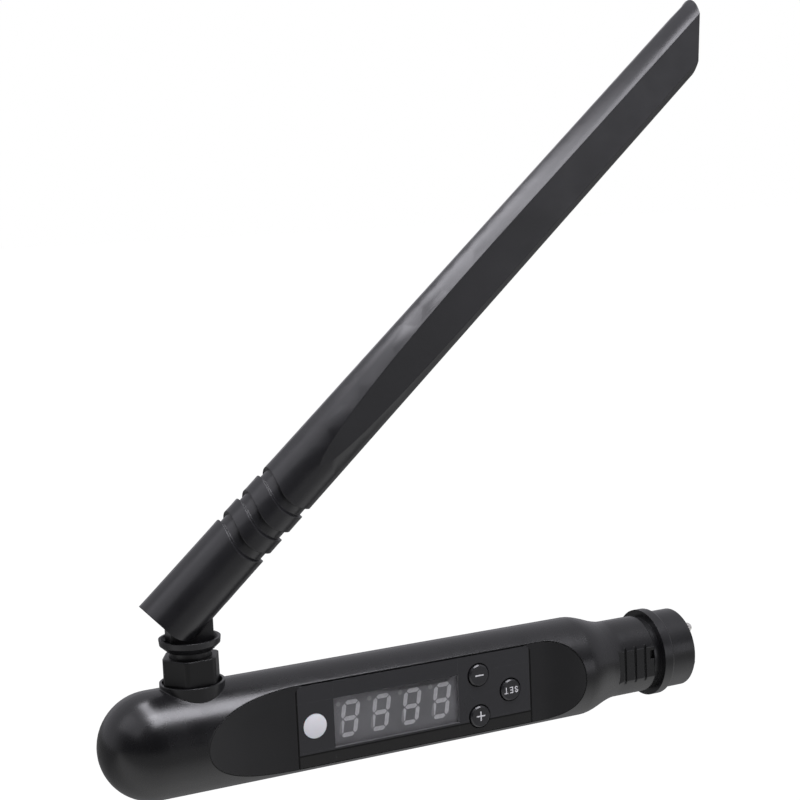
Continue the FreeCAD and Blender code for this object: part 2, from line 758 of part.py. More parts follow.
def rf_jack():
    """Threaded coaxial jack, held from inside against the pad."""
    jack = rod_z(JACK_BOTTOM, JACK_TOP, JACK_R, -SOCKET_C)
    flange = rod_z(SOCKET_PAD - JACK_FLANGE_T, SOCKET_PAD, JACK_FLANGE_R, -SOCKET_C)
    return jack.fuse(flange).cut(rod_z(JACK_BOTTOM - 1, JACK_TOP + 1, JACK_BORE_R, -SOCKET_C))


def jack_insulator():
    body = rod_z(JACK_BOTTOM, JACK_TOP, JACK_BORE_R, -SOCKET_C)
    return body.cut(rod_z(JACK_BOTTOM - 1, JACK_TOP + 1, CONTACT_R, -SOCKET_C))


def jack_contact():
    tube = rod_z(JACK_BOTTOM, JACK_TOP, CONTACT_R, -SOCKET_C)
    depth = (JACK_TOP - JACK_BOTTOM) / 2
    bore = rod_z(JACK_TOP - depth, JACK_TOP + 1, CONTACT_PIN_R + RUN_FIT, -SOCKET_C)
    return tube.cut(bore)


def rf_pigtail():
    """Thin coaxial lead from the jack down and along to the board."""
    bend = LEAD_BEND
    low = JACK_BOTTOM - LEAD_DROP
    near = bend * (1 - math.sqrt(0.5))
    top = Vector(-SOCKET_C, 0, JACK_BOTTOM)
    knee = Vector(-SOCKET_C, 0, low + bend)
    middle = Vector(-SOCKET_C + near, 0, low + near)
    out = Vector(-SOCKET_C + bend, 0, low)
    end = Vector(-BOARD_TAIL + 1.0, 0, low)
    path = Part.Wire([line(top, knee), arc(knee, middle, out), line(out, end)])
    ring = Part.Wire([Part.makeCircle(LEAD_R, top, Z_AXIS)])
    return path.makePipeShell([ring], True, False)


def pigtail_plug():
    x0 = -BOARD_TAIL + 1.0
    low = JACK_BOTTOM - LEAD_DROP
    half = LEAD_PLUG_L / 2
    return block(x0, x0 + LEAD_PLUG_L, -1.0, BOARD_Y, low - half, low + half)


# Collar nut and swivel foot

def turn(shape):
    """Turn a shape about the socket to the way the antenna points."""
    shape = shape.copy()
    shape.rotate(Vector(-SOCKET_C, 0, 0), Z_AXIS, SWIVEL)
    return shape


def collar_nut():
    """Slightly flared nut with six soft-cornered wrench flats that holds the foot."""
    base = SOCKET_FLOOR
    height = NUT_TOP - base
    cone = Part.makeCone(NUT_FOOT_R, NUT_TOP_R, height, Vector(-SOCKET_C, 0, base), Z_AXIS)
    corner = NUT_FLAT / math.cos(math.radians(30))
    points = []
    for k in range(6):
        a = math.radians(60 * k + NUT_TURN)
        points.append(Vector(-SOCKET_C + corner * math.cos(a), corner * math.sin(a), base))
    edges = []
    for k, point in enumerate(points):
        edges.append(line(point, points[(k + 1) % 6]))
    prism = Part.Face(Part.Wire(edges)).extrude(Vector(0, 0, height))
    corners = [e for e in prism.Edges if abs(e.Length - height) < 0.01]
    nut = cone.common(prism.makeFillet(NUT_ROUND, corners))
    nut = nut.cut(rod_z(0, FOOT_FLANGE_BASE, JACK_R + PART_GAP / 2, -SOCKET_C))
    chamber_r = FOOT_FLANGE_R + RUN_FIT
    nut = nut.cut(rod_z(FOOT_FLANGE_BASE - RUN_FIT, FOOT_FLANGE_TOP + RUN_FIT, chamber_r, -SOCKET_C))
    return nut.cut(rod_z(FOOT_FLANGE_BASE, NUT_TOP + 1, FOOT_NECK_R + RUN_FIT, -SOCKET_C))


def swivel_foot():
    """Turned foot with a dished rim and the upright hinge tongue."""
    marks = ((0, FOOT_FLANGE_BASE), (FOOT_FLANGE_R, FOOT_FLANGE_BASE),
             (FOOT_FLANGE_R, FOOT_FLANGE_TOP), (FOOT_NECK_R, FOOT_FLANGE_TOP),
             (FOOT_NECK_R, BOWL_BASE), (BOWL_BASE_R, BOWL_BASE),
             (BOWL_WAIST_R, BOWL_WAIST), (BOWL_R, BOWL_TOP), (BOWL_R - BOWL_RIM, BOWL_TOP),
             (BOWL_BASE_R, BOWL_FLOOR), (0, BOWL_FLOOR))
    points = [Vector(r - SOCKET_C, 0, z) for r, z in marks]
    edges = []
    for k, point in enumerate(points):
        edges.append(line(point, points[(k + 1) % len(points)]))
    foot = spin(edges, Vector(-SOCKET_C, 0, 0), Z_AXIS)
    tongue = block(-SOCKET_C - TONGUE_HALF_W, -SOCKET_C + TONGUE_HALF_W,
                   -TONGUE_HALF_T, TONGUE_HALF_T, BOWL_BASE + 0.2, PIVOT_Z)
    tongue = tongue.common(rod_z(BOWL_BASE, PIVOT_Z, BOWL_R - BOWL_RIM, -SOCKET_C))
    eye = rod_y(-TONGUE_HALF_T, TONGUE_HALF_T, TONGUE_HALF_W, -SOCKET_C, PIVOT_Z)
    foot = foot.fuse(tongue).fuse(eye)
    foot = foot.cut(rod_z(0, BOWL_BASE, FEED_BORE_R, -SOCKET_C))
    foot = foot.cut(rod_z(0, PIVOT_Z - HINGE_PIN_R - 1.2, CONTACT_R + PART_GAP, -SOCKET_C))
    return turn(foot.cut(rod_y(-FAR, FAR, HINGE_PIN_R, -SOCKET_C, PIVOT_Z)))


def swivel_insulator():
    body = rod_z(FOOT_FLANGE_BASE, BOWL_BASE, FEED_BORE_R, -SOCKET_C)
    return body.cut(rod_z(0, FAR, CONTACT_PIN_R, -SOCKET_C))


def swivel_contact():
    """Centre contact that turns in the jack contact."""
    depth = (JACK_TOP - JACK_BOTTOM) / 2
    low = JACK_TOP - depth + BODY_GAP
    return rod_z(low, PIVOT_Z - HINGE_PIN_R - 1.5, CONTACT_PIN_R, -SOCKET_C)


def hinge_pin():
    return turn(rod_y(-HINGE_PIN_HALF, HINGE_PIN_HALF, HINGE_PIN_R, -SOCKET_C, PIVOT_Z))


# Antenna, drawn lying along X with the hinge at the origin

def place_antenna(shape):
    shape = shape.copy()
    shape.rotate(ORIGIN, Y_AXIS, -TILT)
    shape.translate(Vector(-SOCKET_C, 0, PIVOT_Z))
    return turn(shape)


def radome_r(x):
    """Radius of the tapering antenna at a distance from the hinge pin."""
    return ANT_R - ANT_TAPER * x


def bore_end():
    return ANT_LEN - ANT_BORE_SHORT


def whip_end():
    return bore_end() - WHIP_SHORT


def flat_cut(side):
    """Run-out and flat along one broad side."""
    start_r = radome_r(FLAT_START)
    start = Vector(FLAT_START, side * start_r, 0)
    full = Vector(FLAT_FULL, side * FLAT_D, 0)
    run = FLAT_FULL - FLAT_START
    rise = start_r - FLAT_D
    radius = (run ** 2 + rise ** 2) / (2 * rise)
    half = math.asin(run / radius) / 2
    mid = Vector(FLAT_FULL - radius * math.sin(half),
                 side * (FLAT_D + radius * (1 - math.cos(half))), 0)
    end = Vector(ANT_LEN + FAR, side * FLAT_D, 0)
    far_b = Vector(ANT_LEN + FAR, side * FAR, 0)
    far_a = Vector(FLAT_START, side * FAR, 0)
    edges = [arc(start, mid, full), line(full, end), line(end, far_b)]
    edges += [line(far_b, far_a), line(far_a, start)]
    face = Part.Face(Part.Wire(edges))
    face.translate(Vector(0, 0, -FAR))
    return face.extrude(Vector(0, 0, 2 * FAR))


def ring_cut(start):
    """Curved groove that dips towards the hinge on both broad sides."""
    def bow(s):
        a = Vector(s - RING_DIP, -ANT_R - 1, 0)
        b = Vector(s, 0, 0)
        c = Vector(s - RING_DIP, ANT_R + 1, 0)
        return a, b, c
    a, b, c = bow(start)
    d, e, f = bow(start + RING_W)
    edges = [arc(a, b, c), line(c, f), arc(f, e, d), line(d, a)]
    face = Part.Face(Part.Wire(edges))
    face.translate(Vector(0, 0, -FAR))
    slab = face.extrude(Vector(0, 0, 2 * FAR))
    return slab.cut(rod_x(-FAR, FAR * 2, ANT_R - RING_DEPTH))


def fork_cut():
    """Slot for the tongue, open at the end and on the lower side."""
    half_t = TONGUE_HALF_T + BODY_GAP
    r = TONGUE_HALF_W + BODY_GAP
    slot = rod_y(-half_t, half_t, r, 0, 0)
    slot = slot.fuse(block(-FAR, 0, -half_t, half_t, -FAR, r))
    slot = slot.fuse(block(-FAR, r, -half_t, half_t, -FAR, 0))
    heel = block(-FAR, 0, -FAR, FAR, -FAR, 0)
    heel = heel.cut(rod_y(-FAR, FAR, ANT_BACK, 0, 0))
    keep_r = ANT_R + 1
    heel = heel.common(block(-FAR, -0.01, -keep_r, keep_r, -keep_r, 0))
    return slot.fuse(heel)


def tip_cut():
    """Slanted end: the upper edge reaches further than the lower one."""
    tool = block(0, FAR, -FAR, FAR, -FAR, FAR)
    tool.rotate(ORIGIN, Y_AXIS, TIP_SLANT)
    tool.translate(Vector(ANT_LEN - TIP_BACK, 0, 0))
    return tool


def antenna_radome():
    body = Part.makeCone(radome_r(-ANT_BACK), radome_r(ANT_LEN), ANT_LEN + ANT_BACK,
                         Vector(-ANT_BACK, 0, 0), X_AXIS)
    body = body.cut(flat_cut(-1)).cut(flat_cut(1))
    for start in RING_STARTS:
        body = body.cut(ring_cut(start))
    body = body.cut(tip_cut())
    body = body.cut(rod_x(ANT_BORE_START, bore_end(), ANT_BORE_R))
    body = body.cut(rod_x(0, ANT_BORE_START + 1, FEED_R))
    body = body.cut(fork_cut())
    reach = HINGE_PIN_HALF + BODY_GAP
    body = body.cut(rod_y(-reach, reach, HINGE_PIN_R + RUN_FIT, 0, 0))
    return place_antenna(body)


def antenna_feed():
    start = TONGUE_HALF_W + BODY_GAP
    return place_antenna(rod_x(start, FEED_END, FEED_R))


def dipole_sleeve():
    tube = rod_x(DIPOLE_START, FEED_END, DIPOLE_R)
    tube = tube.cut(rod_x(DIPOLE_START - 1, FEED_END - 1, DIPOLE_R - DIPOLE_T))
    return place_antenna(tube.cut(rod_x(0, FAR * 3, FEED_R)))


def antenna_whip():
    whip = rod_x(FEED_END, whip_end(), WHIP_R)
    turns = rod_x(FEED_END + COIL_START, FEED_END + COIL_START + COIL_L, COIL_R)
    return place_antenna(whip.fuse(turns))


def antenna_spacers():
    """Three insulating discs that centre the parts in the bore."""
    spots = ((ANT_BORE_START + SPACER_STEP, FEED_R),
             (DIPOLE_START + SPACER_SLEEVE_STEP, DIPOLE_R),
             (whip_end() - SPACER_STEP, WHIP_R))
    discs = []
    for start, hole in spots:
        disc = rod_x(start, start + SPACER_T, ANT_BORE_R)
        discs.append(disc.cut(rod_x(start - 1, start + SPACER_T + 1, hole)))
    return place_antenna(Part.makeCompound(discs))


PIECES = (
    ("body_shell", body_shell),
    ("front_cover", front_cover),
    ("gloss_panel", gloss_panel),
    ("display_lens", display_lens),
    ("display_module", display_module),
    ("display_segments", lambda: Part.makeCompound(digit_shapes(SEGMENT_T))),
    ("indicator_lens", indicator_lens),
    ("key_minus", lambda: key_cap(MINUS_C, MINUS_Z)),
    ("key_plus", lambda: key_cap(PLUS_C, PLUS_Z)),
    ("key_set", lambda: key_cap(SET_C, SET_Z)),
    ("main_board", main_board),
    ("board_screws", board_screws),
    ("key_switches", key_switches),
    ("status_led", status_led),
    ("radio_module", radio_module),
    ("control_chip", control_chip),
    ("battery_cell", battery_cell),
    ("charge_socket", charge_socket),
    ("wire_block", wire_block),
    ("plug_shell", plug_shell),
    ("plug_insert", plug_insert),
    ("plug_pins", plug_pins),
    ("plug_wires", plug_wires),
    ("rf_jack", rf_jack),
    ("jack_insulator", jack_insulator),
    ("jack_contact", jack_contact),
    ("rf_pigtail", rf_pigtail),
    ("pigtail_plug", pigtail_plug),
    ("collar_nut", collar_nut),
    ("swivel_foot", swivel_foot),
    ("swivel_insulator", swivel_insulator),
    ("swivel_contact", swivel_contact),
    ("hinge_pin", hinge_pin),
    ("antenna_radome", antenna_radome),
    ("antenna_feed", antenna_feed),
    ("dipole_sleeve", dipole_sleeve),
    ("antenna_whip", antenna_whip),
    ("antenna_spacers", antenna_spacers),
)

for node, make in PIECES:
    write(node, make())
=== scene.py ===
"""Looks for a plug-on lighting-control transmitter with a tilting rod antenna.

The packed CAD model is loaded as the fixed frame. Each operator below gives one group
of its pieces their finish or adds the small pieces that belong to it. The last operator
makes the pale studio and the camera. Everything is in metres, in the frame of the part:
+X is the way the plug points, +Z the antenna side, -Y the side with the display.
"""
import math

import bmesh
import bpy
from bpy.props import FloatProperty, FloatVectorProperty, PointerProperty
from mathutils import Matrix, Vector


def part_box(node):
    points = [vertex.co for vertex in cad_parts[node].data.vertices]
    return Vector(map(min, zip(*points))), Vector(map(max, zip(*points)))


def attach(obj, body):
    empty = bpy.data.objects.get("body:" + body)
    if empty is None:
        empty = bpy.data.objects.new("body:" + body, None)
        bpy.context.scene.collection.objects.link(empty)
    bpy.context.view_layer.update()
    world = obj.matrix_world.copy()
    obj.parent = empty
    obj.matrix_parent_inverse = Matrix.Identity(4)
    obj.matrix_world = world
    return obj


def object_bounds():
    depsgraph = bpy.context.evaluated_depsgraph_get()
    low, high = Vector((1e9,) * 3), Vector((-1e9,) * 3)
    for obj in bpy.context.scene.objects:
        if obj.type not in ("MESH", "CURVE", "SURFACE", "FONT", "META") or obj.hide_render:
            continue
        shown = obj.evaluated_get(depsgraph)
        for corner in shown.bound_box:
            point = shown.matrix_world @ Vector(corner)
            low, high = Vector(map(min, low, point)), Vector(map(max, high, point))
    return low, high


bl_info = {
    "name": "Lighting transmitter",
    "version": (1, 0, 0),
    "blender": (4, 5, 0),
    "location": "View3D > Sidebar > Transmitter",
    "description": "Finishes, key legends and studio for a plug-on lighting transmitter",
    "category": "Object",
}

MM = 0.001

# Gap between the window and the panel round it, and how near a wall's plane counts as on it,
# for the window walls that get painted light.
WINDOW_GAP = 0.05 * MM
WALL_REACH = 0.002 * MM

# Light seen in gloss. The room's stops run from behind the part to the photographer's side,
# and the floor's from the front to the back, each as (place, light level).
ROOM_GLOSS = ((0.0, 0.5), (0.3, 0.62), (0.55, 0.7), (0.68, 0.42), (0.78, 0.08), (1.0, 0.03))
FLOOR_GLOSS = ((0.07, 0.38), (0.35, 0.95), (0.46, 0.95), (0.58, 0.45), (0.72, 0.18))
FLOOR_REACH = 0.4
FLOOR_SIZE = 12.0
FLOOR_WHITE = 1.08
FLOOR_GLOW = 0.9

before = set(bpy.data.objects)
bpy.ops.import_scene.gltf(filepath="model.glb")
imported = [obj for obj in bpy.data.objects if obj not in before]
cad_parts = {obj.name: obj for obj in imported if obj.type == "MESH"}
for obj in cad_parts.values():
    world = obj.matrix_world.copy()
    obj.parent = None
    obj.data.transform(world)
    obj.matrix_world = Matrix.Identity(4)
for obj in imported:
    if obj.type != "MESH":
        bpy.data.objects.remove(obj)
cad_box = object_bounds()


def shade(name, description, default):
    return FloatVectorProperty(name=name, description=description, default=default,
                               subtype="COLOR", size=3, min=0.0, max=1.0)


def share(name, description, default):
    return FloatProperty(name=name, description=description, default=default,
                         subtype="FACTOR", min=0.0, max=1.0)


def span(name, description, default):
    return FloatProperty(name=name, description=description, default=default,
                         unit="LENGTH", min=0.0)


class CasingLook(bpy.types.PropertyGroup):
    """Moulded housing, cover, plug and antenna."""
    black: shade("Housing black", "Colour of the moulded housing", (0.0036, 0.0036, 0.004))
    cover: shade("Cover black", "Colour of the flat front cover", (0.0042, 0.0042, 0.0048))
    rod: shade("Antenna black", "Colour of the antenna casing", (0.0072, 0.0072, 0.008))
    gloss: share("Housing roughness", "How blurred the housing's highlights are", 0.27)
    cover_gloss: share("Cover roughness", "How blurred the cover's highlights are", 0.42)
    rod_gloss: share("Antenna roughness", "How blurred the antenna's highlights are", 0.31)
    grain: span("Grain", "Size of the moulded surface grain", 0.22 * MM)


class FrontLook(bpy.types.PropertyGroup):
    """Gloss panel, display and lamp."""
    panel: shade("Panel black", "Colour of the gloss panel", (0.0155, 0.0155, 0.017))
    strip: shade("Strip black", "Colour of the panel below the display's line",
                 (0.0046, 0.0045, 0.0043))
    # Painted shadow: the fine dark lines stand for the shade in the gaps round the panel.
    seam: shade("Line black", "Colour of the fine lines on the panel", (0.0004, 0.0004, 0.0004))
    gap_shade_width: span("Line width", "Width of the fine lines on the panel", 0.36 * MM)
    gap_shade_drop: span("Line drop", "How far the long line is below the window", 0.65 * MM)
    gap_shade_inset: span("Line inset", "How far the end lines are inside the panel", 0.12 * MM)
    gap_shade_shine: share("Line shine", "Shine left on the fine lines", 0.28)
    face: shade("Display grey", "Colour of the unlit display face", (0.14, 0.14, 0.142))
    bars: shade("Bar grey", "Colour of the unlit display bars", (0.44, 0.44, 0.44))
    digit_pitch: span("Digit pitch", "Distance from one digit to the next", 7.66 * MM)
    dot_place: share("Dot place", "Place of the dots, as a share of the pitch", 0.663)
    dot_reach: share("Dot reach", "Half width of the dots' band, as a share of the pitch", 0.12)
    window: share("Window darkness", "How much the display window hides", 0.14)
    lamp: shade("Lamp white", "Colour of the milky lamp", (0.56, 0.56, 0.57))


class KeyLook(bpy.types.PropertyGroup):
    """Key caps and their legends."""
    cap: shade("Cap black", "Colour of the key caps", (0.012, 0.012, 0.013))
    ink: shade("Legend grey", "Colour of the key legends", (0.5, 0.5, 0.5))
    sign_length: span("Sign length", "Length of the minus and plus strokes", 2.2 * MM)
    stroke: span("Stroke", "Width of the legend strokes", 0.3 * MM)
    word_length: span("Word length", "Length of the word on the set key", 4.0 * MM)
    word_height: span("Word height", "Height of the word on the set key", 1.5 * MM)
    ink_depth: span("Ink depth", "Thickness of the printed legends", 0.03 * MM)


class StudioLook(bpy.types.PropertyGroup):
    """Floor, lamps and camera."""
    aim: FloatVectorProperty(name="Aim", description="Point that the camera looks at",
                             default=(-0.072622, 0.0, 0.068506), unit="LENGTH", size=3)
    azimuth: FloatProperty(name="Azimuth", description="Camera's turn towards the tail",
                           default=math.radians(26.264), unit="ROTATION")
    elevation: FloatProperty(name="Elevation", description="Camera's height angle",
                             default=math.radians(6.974), unit="ROTATION")
    roll: FloatProperty(name="Roll", description="Camera's turn about its own line",
                        default=math.radians(-2.533), unit="ROTATION")
    distance: span("Distance", "Distance from the camera to the aim", 0.382706)
    lens: FloatProperty(name="Lens", description="Focal length in millimetres",
                        default=76.54, min=1.0)
    floor_drop: span("Floor drop", "How far the floor is below the stick", 0.16)
    fill: share("Fill", "Even light from all round", 0.52)
    top_power: FloatProperty(name="Top light", description="Power of the overhead softbox",
                             default=3.6, unit="POWER", min=0.0)
    strip_power: FloatProperty(name="Strip light", description="Power of the light bar "
                               "over the antenna", default=0.52, unit="POWER", min=0.0)
    left_power: FloatProperty(name="Left light", description="Power of the softbox at the "
                              "tail", default=1.7, unit="POWER", min=0.0)
    right_power: FloatProperty(name="Right light", description="Power of the reflector "
                               "in front", default=0.6, unit="POWER", min=0.0)


LOOKS = (
    ("transmitter_casing", CasingLook),
    ("transmitter_front", FrontLook),
    ("transmitter_keys", KeyLook),
    ("transmitter_studio", StudioLook),
)


# Materials

def put_on(material, *names):
    """Give CAD nodes one material in all their slots."""
    for name in names:
        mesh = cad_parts[name].data
        mesh.materials.clear()
        mesh.materials.append(material)


class Finish:
    """A node material whose patterns follow the part, not the camera."""

    def __init__(self, name, **sockets):
        self.material = bpy.data.materials.new(name)
        self.material.use_nodes = True
        self.tree = self.material.node_tree
        self.bsdf = self.tree.nodes["Principled BSDF"]
        self.place = self.node("ShaderNodeTexCoord").outputs["Object"]
        for socket, value in sockets.items():
            key = socket.replace("_", " ").title().replace("Ior", "IOR")
            if isinstance(value, tuple):
                value = (*value, 1.0)
            self.bsdf.inputs[key].default_value = value

    def node(self, kind, **values):
        made = self.tree.nodes.new(kind)
        for key, value in values.items():
            if key in made.inputs:
                made.inputs[key].default_value = value
            else:
                setattr(made, key, value)
        return made

    def link(self, output, target):
        self.tree.links.new(output, target)

    def noise(self, size, detail=3.0, stretch=None):
        """Cloudy pattern whose patches are about the given size."""
        place = self.place
        if stretch:
            mapping = self.node("ShaderNodeMapping")
            mapping.inputs["Scale"].default_value = stretch
            self.link(place, mapping.inputs["Vector"])
            place = mapping.outputs["Vector"]
        noise = self.node("ShaderNodeTexNoise", Scale=1.0 / size, Detail=detail)
        self.link(place, noise.inputs["Vector"])
        return noise.outputs["Fac"]

    def vary_colour(self, pattern, low, high, spread=(0.35, 0.65)):
        ramp = self.node("ShaderNodeValToRGB")
        for stop, at, colour in zip(ramp.color_ramp.elements, spread, (low, high)):
            stop.position = at
            stop.color = (*colour[:3], 1.0)
        self.link(pattern, ramp.inputs["Fac"])
        self.link(ramp.outputs["Color"], self.bsdf.inputs["Base Color"])

    def along(self, axis, *steps):
        """Place along one axis of the part, put through Math steps in turn."""
        split = self.node("ShaderNodeSeparateXYZ")
        self.link(self.place, split.inputs["Vector"])
        value = split.outputs[axis]
        for operation, *numbers in steps:
            step = self.node("ShaderNodeMath", operation=operation)
            self.link(value, step.inputs[0])
            for slot, number in enumerate(numbers, 1):
                step.inputs[slot].default_value = number
            value = step.outputs["Value"]
        return value

    def paint(self, mask, colour):
        """Colour the places where the mask is 1 over what the base colour has."""
        socket = self.bsdf.inputs["Base Color"]
        below = socket.links[0].from_socket
        over = self.node("ShaderNodeMix", data_type="RGBA")
        over.inputs["B"].default_value = (*colour[:3], 1.0)
        self.link(mask, over.inputs["Factor"])
        self.link(below, over.inputs["A"])
        self.link(over.outputs["Result"], socket)

    def dull(self, mask, level):
        """Lower the shine where the mask is 1."""
        socket = self.bsdf.inputs["Specular IOR Level"]
        over = self.node("ShaderNodeMix", A=socket.default_value, B=level)
        if socket.links:
            self.link(socket.links[0].from_socket, over.inputs["A"])
        self.link(mask, over.inputs["Factor"])
        self.link(over.outputs["Result"], socket)

    def vary_roughness(self, pattern, low, high):
        scale = self.node("ShaderNodeMapRange")
        scale.inputs["From Min"].default_value = 0.3
        scale.inputs["From Max"].default_value = 0.7
        scale.inputs["To Min"].default_value = low
        scale.inputs["To Max"].default_value = high
        self.link(pattern, scale.inputs["Value"])
        self.link(scale.outputs["Result"], self.bsdf.inputs["Roughness"])

    def relief(self, pattern, height, strength, edge=0.0):
        bump = self.node("ShaderNodeBump", Strength=strength, Distance=height)
        self.link(pattern, bump.inputs["Height"])
        if edge:
            soft = self.node("ShaderNodeBevel", samples=6)
            soft.inputs["Radius"].default_value = edge
            self.link(soft.outputs["Normal"], bump.inputs["Normal"])
        self.link(bump.outputs["Normal"], self.bsdf.inputs["Normal"])


def lighter(colour, by):
    return tuple(min(1.0, part * by) for part in colour)


def moulded(name, colour, roughness, grain, edge, level=0.5):
    """Black moulded plastic: fine grain, soft edges and faint handling marks."""
    made = Finish(name, specular_ior_level=level)
    made.vary_colour(made.noise(14 * MM, 4.0), lighter(colour, 0.86), lighter(colour, 1.16))
    made.vary_roughness(made.noise(5 * MM, 5.0), roughness - 0.035, roughness + 0.035)
    made.relief(made.noise(grain, 2.0), 0.012 * MM, 0.35, edge)
    return made.material


def metal(name, colour, roughness, stretch=(1.0, 6.0, 6.0)):
    """Plated or turned metal with fine lines."""
    made = Finish(name, metallic=1.0)
    made.vary_colour(made.noise(6 * MM), lighter(colour, 0.9), colour)
    made.vary_roughness(made.noise(0.5 * MM, 3.0, stretch), roughness, roughness + 0.12)
    made.relief(made.noise(0.15 * MM, 2.0, stretch), 0.004 * MM, 0.2)
    return made.material


def plain(name, colour, roughness, size=3 * MM):
    """Inner plastic, rubber or board with slight unevenness."""
    made = Finish(name)
    made.vary_colour(made.noise(size), lighter(colour, 0.85), lighter(colour, 1.1))
    made.vary_roughness(made.noise(size / 3), roughness - 0.05, roughness + 0.05)
    made.relief(made.noise(0.3 * MM), 0.01 * MM, 0.25)
    return made.material


# Casing

class TRANSMITTER_OT_casing(bpy.types.Operator):
    """Give the housing, cover, plug and foot their moulded finish"""
    bl_idname = "transmitter.casing"
    bl_label = "Housing, cover and plug"

    def execute(self, context):
        look = context.scene.transmitter_casing
        housing = moulded("satin_black_housing", look.black, look.gloss, look.grain, 0.3 * MM)
        cover = moulded("fine_matt_cover", look.cover, look.cover_gloss,
                        look.grain * 0.7, 0.12 * MM, 0.38)
        plug = moulded("satin_black_plug", lighter(look.black, 1.3), 0.3, look.grain,
                       0.05 * MM)
        nut = moulded("black_nut", lighter(look.black, 0.45), 0.36, look.grain, 0.6 * MM, 0.4)
        foot = moulded("black_foot", lighter(look.black, 1.9), 0.36, look.grain, 0.2 * MM)
        put_on(housing, "body_shell")
        put_on(cover, "front_cover")
        put_on(plug, "plug_shell")
        put_on(nut, "collar_nut")
        put_on(foot, "swivel_foot")
        put_on(plain("black_insert", (0.02, 0.02, 0.021), 0.5), "plug_insert")
        put_on(metal("bright_pins", (0.72, 0.71, 0.68), 0.16), "plug_pins")
        return {"FINISHED"}


class TRANSMITTER_OT_antenna(bpy.types.Operator):
    """Give the antenna casing and what it holds their finish"""
    bl_idname = "transmitter.antenna"
    bl_label = "Antenna"

    def execute(self, context):
        look = context.scene.transmitter_casing
        rod = moulded("satin_black_antenna", look.rod, look.rod_gloss, look.grain, 0.25 * MM)
        put_on(rod, "antenna_radome")
        brass = metal("turned_brass", (0.78, 0.58, 0.28), 0.25)
        put_on(brass, "antenna_feed", "dipole_sleeve", "antenna_whip", "rf_jack",
               "jack_contact", "swivel_contact", "pigtail_plug")
        white = plain("white_insulator", (0.82, 0.82, 0.8), 0.45)
        put_on(white, "antenna_spacers", "jack_insulator", "swivel_insulator")
        put_on(metal("hinge_steel", (0.6, 0.6, 0.61), 0.3), "hinge_pin")
        return {"FINISHED"}


# Front

def gloss_panel(look):
    """Gloss black with a darker strip, fine dark lines of painted gap shadow, and the window's
    walls painted the display's grey in place of their shade.
    """
    panel = Finish("gloss_black_panel", specular_ior_level=0.5)
    panel.vary_colour(panel.noise(20 * MM), lighter(look.panel, 0.9), look.panel)
    low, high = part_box("gloss_panel")
    window_low, window_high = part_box("display_lens")
    line = window_low.z - look.gap_shade_drop
    panel.paint(panel.along("Z", ("LESS_THAN", line)), look.strip)
    # Painted shadow: dark lines along the panel's lower line and near its ends stand for the
    # shade in the gaps there.
    for axis, place in (("Z", line), ("X", low.x + look.gap_shade_inset),
                        ("X", high.x - look.gap_shade_inset)):
        seam = panel.along(axis, ("COMPARE", place, look.gap_shade_width / 2))
        panel.paint(seam, look.seam)
        panel.dull(seam, look.gap_shade_shine)
    # Painted light: the window's side walls get the display's grey in place of the shade in the
    # recess behind the panel.
    for axis, place in (("X", window_low.x - WINDOW_GAP), ("X", window_high.x + WINDOW_GAP),
                        ("Z", window_low.z - WINDOW_GAP), ("Z", window_high.z + WINDOW_GAP)):
        panel.paint(panel.along(axis, ("COMPARE", place, WALL_REACH)), look.face)
    panel.vary_roughness(panel.noise(4 * MM, 6.0), 0.10, 0.17)
    panel.relief(panel.noise(9 * MM, 2.0), 0.02 * MM, 0.15, 0.08 * MM)
    return panel.material


def display_window(look):
    window = Finish("display_window", base_color=(0.02, 0.02, 0.022), alpha=look.window)
    window.vary_roughness(window.noise(4 * MM, 6.0), 0.10, 0.16)
    window.relief(window.noise(9 * MM, 2.0), 0.02 * MM, 0.1)
    return window.material


def display_bars(look):
    """Pale bars, and dimmer dots in a band beside each digit."""
    bars = Finish("display_bars")
    bars.vary_colour(bars.noise(0.8 * MM), lighter(look.bars, 0.9), lighter(look.bars, 1.05))
    dots = bars.along("X", ("DIVIDE", look.digit_pitch), ("FRACT",),
                      ("COMPARE", look.dot_place, look.dot_reach))
    bars.paint(dots, lighter(look.bars, 0.5))
    bars.vary_roughness(bars.noise(0.5 * MM), 0.45, 0.6)
    bars.relief(bars.noise(0.2 * MM), 0.01 * MM, 0.3)
    return bars.material


def milky_lamp(look):
    lamp = Finish("milky_lamp", subsurface_weight=0.25, subsurface_scale=1.5 * MM)
    lamp.vary_colour(lamp.noise(2 * MM), lighter(look.lamp, 0.98), look.lamp)
    lamp.vary_roughness(lamp.noise(1 * MM), 0.3, 0.38)
    lamp.relief(lamp.noise(0.4 * MM), 0.005 * MM, 0.2)
    return lamp.material


class TRANSMITTER_OT_front(bpy.types.Operator):
    """Give the gloss panel, the display and the lamp their finish"""
    bl_idname = "transmitter.front"
    bl_label = "Panel, display and lamp"

    def execute(self, context):
        look = context.scene.transmitter_front
        put_on(gloss_panel(look), "gloss_panel")
        put_on(display_window(look), "display_lens")
        put_on(plain("display_face", look.face, 0.55, 8 * MM), "display_module")
        put_on(display_bars(look), "display_segments")
        put_on(milky_lamp(look), "indicator_lens", "status_led")
        return {"FINISHED"}


# Keys

def ribbon(points, width):
    """Closed outline of a stroke of even width along a line of points."""
    sides = ([], [])
    for k, point in enumerate(points):
        before = points[max(k - 1, 0)]
        after = points[min(k + 1, len(points) - 1)]
        ahead = (after - before).normalized()
        away = Vector((-ahead.y, ahead.x))
        if 0 < k < len(points) - 1:
            first = (point - before).normalized()
            away = away / max(0.5, ahead.dot(first))
        sides[0].append(point + away * width / 2)
        sides[1].append(point - away * width / 2)
    return sides[0] + sides[1][::-1]


